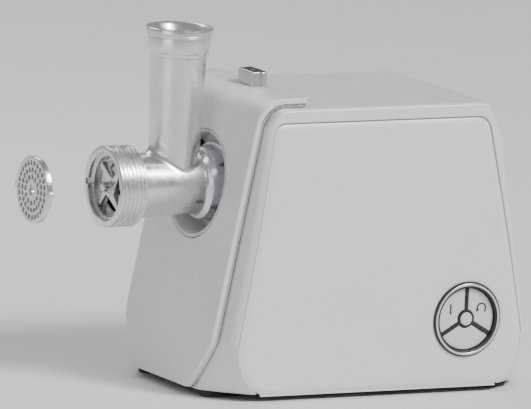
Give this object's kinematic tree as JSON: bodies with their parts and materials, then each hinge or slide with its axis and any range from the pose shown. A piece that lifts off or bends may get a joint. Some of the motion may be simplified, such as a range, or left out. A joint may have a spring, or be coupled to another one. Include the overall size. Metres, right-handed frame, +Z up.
{
  "type": "electric meat grinder",
  "caption": "Household meat grinder with a trapezoid plastic body, upright feed tube, worm barrel, lift-off cutting plate and a geared motor inside.",
  "frame": {"origin": "centre of the bounding box, on the plane the feet stand on", "axes": "+Z up, -X along the barrel towards its mouth, -Y towards the side with the switch"},
  "size_m": [0.434, 0.1844, 0.294],
  "materials": {
    "shell": "moulded white ABS, satin gloss",
    "side_panel": "moulded white ABS, gloss",
    "trim": "satin metal trim",
    "dark_plastic": "fine grained black plastic",
    "rubber": "matt black rubber",
    "steel": "plain steel",
    "stainless": "ground stainless steel",
    "cast_aluminium": "polished cast aluminium",
    "bracket": "pressed aluminium",
    "socket": "grey glass filled nylon",
    "gearbox": "dark grey glass filled nylon",
    "gear_nylon": "natural nylon",
    "worm_aluminium": "cast aluminium, satin",
    "bronze": "sintered bronze",
    "copper": "enamelled copper",
    "lamination": "lamination steel",
    "carbon": "black carbon and plastic",
    "keys": "light grey satin plastic",
    "board": "green solder mask"
  },
  "bodies": {
    "frame": {"front_cover": "shell", "front_trim": "trim", "right_housing": "shell", "left_housing": "shell", "right_panel": "side_panel", "left_panel": "side_panel", "base_plate": "dark_plastic", "rubber_feet": "rubber", "base_screws": "steel", "cord_gland": "dark_plastic", "terminal_block": "gear_nylon", "socket_ring": "socket", "latch_guide": "gear_nylon", "lock_spring": "steel", "grinder_head": "cast_aluminium", "head_bush": "bronze", "gearbox_housing": "gearbox", "gearbox_cover": "gearbox", "gearbox_screws": "steel", "gear_pins": "steel", "output_bush": "bronze", "shaft_seal": "rubber", "stator_core": "lamination", "field_coils": "copper", "motor_front_bracket": "bracket", "motor_rear_bracket": "bracket", "motor_bearings": "bronze", "motor_bolts": "steel", "brush_holders": "dark_plastic", "carbon_brushes": "carbon", "switch_housing": "dark_plastic", "switch_bezel": "trim", "switch_divider": "dark_plastic", "on_spring": "steel", "off_spring": "steel", "reverse_spring": "steel", "control_board": "board", "contact_switches": "carbon"},
    "worm": {"output_shaft": "steel", "output_gear": "gear_nylon", "auger": "worm_aluminium", "cutting_blade": "stainless"},
    "second_idler": {"second_idler_gear": "gear_nylon"},
    "first_idler": {"first_idler_gear": "gear_nylon"},
    "rotor": {"motor_shaft": "steel", "motor_pinion": "steel", "rotor_core": "lamination", "rotor_windings": "copper", "commutator": "copper", "motor_fan": "carbon"},
    "plate": {"cutting_plate": "stainless"},
    "lock": {"lock_button": "trim", "lock_latch": "steel"},
    "on_key": {"on_button": "keys"},
    "off_key": {"off_button": "keys"},
    "reverse_key": {"reverse_button": "keys"}
  },
  "joints": [
    {"name": "worm_spin", "type": "hinge", "parent": "frame", "child": "worm", "pos_m": [0, 0, 0.165], "axis": [1, 0, 0], "continuous": true},
    {"name": "second_idler_spin", "type": "hinge", "parent": "frame", "child": "second_idler", "pos_m": [0, -0.008, 0.11843], "axis": [1, 0, 0], "continuous": true},
    {"name": "first_idler_spin", "type": "hinge", "parent": "frame", "child": "first_idler", "pos_m": [0, 0.01, 0.08553], "axis": [1, 0, 0], "continuous": true},
    {"name": "rotor_spin", "type": "hinge", "parent": "frame", "child": "rotor", "pos_m": [0, 0, 0.05598], "axis": [1, 0, 0], "continuous": true},
    {"name": "plate_slide", "type": "slide", "parent": "frame", "child": "plate", "axis": [1, 0, 0], "range_m": [0, 0.065]},
    {"name": "lock_press", "type": "slide", "parent": "frame", "child": "lock", "axis": [0, 0, -1], "range_m": [0, 0.005], "stiffness_N_per_m": 1200, "springref_m": -0.002, "deforming": ["lock_spring"]},
    {"name": "on_press", "type": "slide", "parent": "frame", "child": "on_key", "axis": [0, 1, 0], "range_m": [0, 0.002], "stiffness_N_per_m": 900, "springref_m": -0.001, "deforming": ["on_spring"]},
    {"name": "off_press", "type": "slide", "parent": "frame", "child": "off_key", "axis": [0, 1, 0], "range_m": [0, 0.002], "stiffness_N_per_m": 900, "springref_m": -0.001, "deforming": ["off_spring"]},
    {"name": "reverse_press", "type": "slide", "parent": "frame", "child": "reverse_key", "axis": [0, 1, 0], "range_m": [0, 0.002], "stiffness_N_per_m": 900, "springref_m": -0.001, "deforming": ["reverse_spring"]}
  ],
  "couplings": [
    {"joint": "second_idler_spin", "follows": "worm_spin", "ratio": -3.5},
    {"joint": "first_idler_spin", "follows": "worm_spin", "ratio": 14},
    {"joint": "rotor_spin", "follows": "worm_spin", "ratio": -77}
  ]
}
